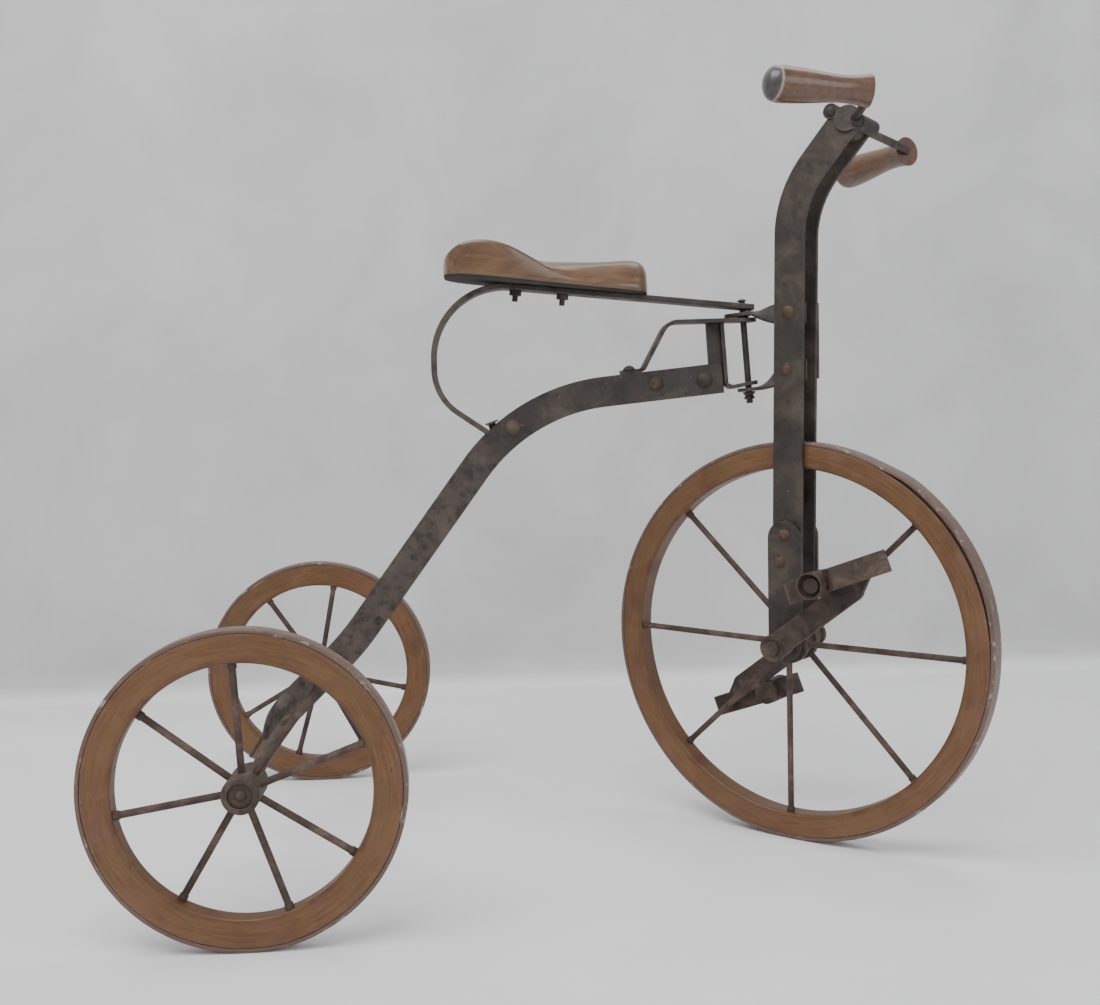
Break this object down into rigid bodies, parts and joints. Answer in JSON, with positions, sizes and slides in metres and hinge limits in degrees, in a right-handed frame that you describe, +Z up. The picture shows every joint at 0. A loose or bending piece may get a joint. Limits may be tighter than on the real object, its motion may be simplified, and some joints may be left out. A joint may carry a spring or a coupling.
{
  "type": "children's tricycle",
  "caption": "Velocipede tricycle of flat steel bars: wooden wheels, saddle on a C-shaped leaf spring, hinged fork with bent handlebar, and pedals on the front axle.",
  "frame": {"origin": "on the floor, at the middle of the footprint box of the tricycle as stored", "axes": "+X forward along the frame, +Y to the rider's left, +Z up. The fork is stored steered 40 degrees to the rider's right; the right crank points up and forward."},
  "size_m": [0.922, 0.6012, 0.8364],
  "materials": {
    "bar_paint": "worn gray-green paint over steel",
    "dark_steel": "dark, aged",
    "rusty_steel": "brown rust",
    "spoke_paint": "dull gray-brown",
    "rivet_copper": "dull copper",
    "rivet_brown": "brown",
    "rim_wood": "worn varnish",
    "tread_wood": "bare and worn",
    "seat_wood": "glossy honey varnish",
    "grip_wood": "varnished"
  },
  "bodies": {
    "frame": {"backbone": "bar_paint", "axle_socket": "rusty_steel", "axle_clip": "dark_steel", "rear_axle": "rusty_steel", "axle_collars": "rusty_steel", "axle_pins": "dark_steel", "head_brace": "bar_paint", "head_bracket": "bar_paint", "head_post": "bar_paint", "frame_rivets": "rivet_brown", "steering_pin": "dark_steel", "steering_nut": "dark_steel", "spring_foot": "bar_paint"},
    "seat": {"seat_spring": "bar_paint", "seat": "seat_wood", "seat_bolts": "dark_steel", "seat_nuts": "dark_steel"},
    "fork": {"fork_blade_right": "bar_paint", "fork_blade_left": "bar_paint", "fork_end_right": "bar_paint", "fork_end_left": "bar_paint", "fork_rivets": "rivet_copper", "fork_strap_top": "bar_paint", "fork_strap_bottom": "bar_paint", "fork_spacers": "dark_steel", "fork_side_plate": "bar_paint", "fork_stop_bolt": "dark_steel", "handlebar": "bar_paint", "handlebar_clamp": "bar_paint", "handlebar_bolts": "dark_steel", "grip_right": "grip_wood", "grip_left": "grip_wood"},
    "front_wheel": {"front_hub": "rusty_steel", "front_axle": "rusty_steel", "front_rim": "rim_wood", "front_tread": "tread_wood", "front_spokes": "spoke_paint", "front_spoke_collars": "spoke_paint", "crank_right": "rusty_steel", "crank_left": "rusty_steel", "crank_pins": "rusty_steel"},
    "pedal_right": {"pedal_right_tube": "rusty_steel", "pedal_right_front_strap": "rusty_steel", "pedal_right_rear_strap": "rusty_steel"},
    "pedal_left": {"pedal_left_tube": "rusty_steel", "pedal_left_front_strap": "rusty_steel", "pedal_left_rear_strap": "rusty_steel"},
    "rear_wheel_right": {"rear_wheel_right_hub": "rusty_steel", "rear_wheel_right_spokes": "spoke_paint", "rear_wheel_right_collars": "spoke_paint", "rear_wheel_right_rim": "rim_wood", "rear_wheel_right_tread": "tread_wood", "rear_wheel_right_washer": "rusty_steel"},
    "rear_wheel_left": {"rear_wheel_left_hub": "rusty_steel", "rear_wheel_left_spokes": "spoke_paint", "rear_wheel_left_collars": "spoke_paint", "rear_wheel_left_rim": "rim_wood", "rear_wheel_left_tread": "tread_wood", "rear_wheel_left_washer": "rusty_steel"}
  },
  "joints": [
    {"name": "steering", "type": "hinge", "parent": "frame", "child": "fork", "pos_m": [0.23305, 0, 0.566], "axis": [-0.0698, 0, 0.9976], "range_deg": [-20, 100]},
    {"name": "front_wheel_spin", "type": "hinge", "parent": "fork", "child": "front_wheel", "pos_m": [0.27702, -0.0369, 0.2305], "axis": [0.6428, 0.766, 0], "continuous": true},
    {"name": "pedal_right_spin", "type": "hinge", "parent": "front_wheel", "child": "pedal_right", "pos_m": [0.2747, -0.13612, 0.3085], "axis": [0.6428, 0.766, 0], "continuous": true},
    {"name": "pedal_left_spin", "type": "hinge", "parent": "front_wheel", "child": "pedal_left", "pos_m": [0.27934, 0.06232, 0.1525], "axis": [0.6428, 0.766, 0], "continuous": true},
    {"name": "rear_wheel_right_spin", "type": "hinge", "parent": "frame", "child": "rear_wheel_right", "pos_m": [-0.30865, -0.2787, 0.1524], "axis": [0, 1, 0], "continuous": true},
    {"name": "rear_wheel_left_spin", "type": "hinge", "parent": "frame", "child": "rear_wheel_left", "pos_m": [-0.30865, 0.2787, 0.1524], "axis": [0, 1, 0], "continuous": true},
    {"name": "seat_flex", "type": "hinge", "parent": "frame", "child": "seat", "pos_m": [0.22935, 0, 0.618], "axis": [0, -1, 0], "range_deg": [0, 4], "stiffness_Nm_per_rad": 700, "springref_deg": -0.57, "deforming": ["seat_spring"]}
  ]
}
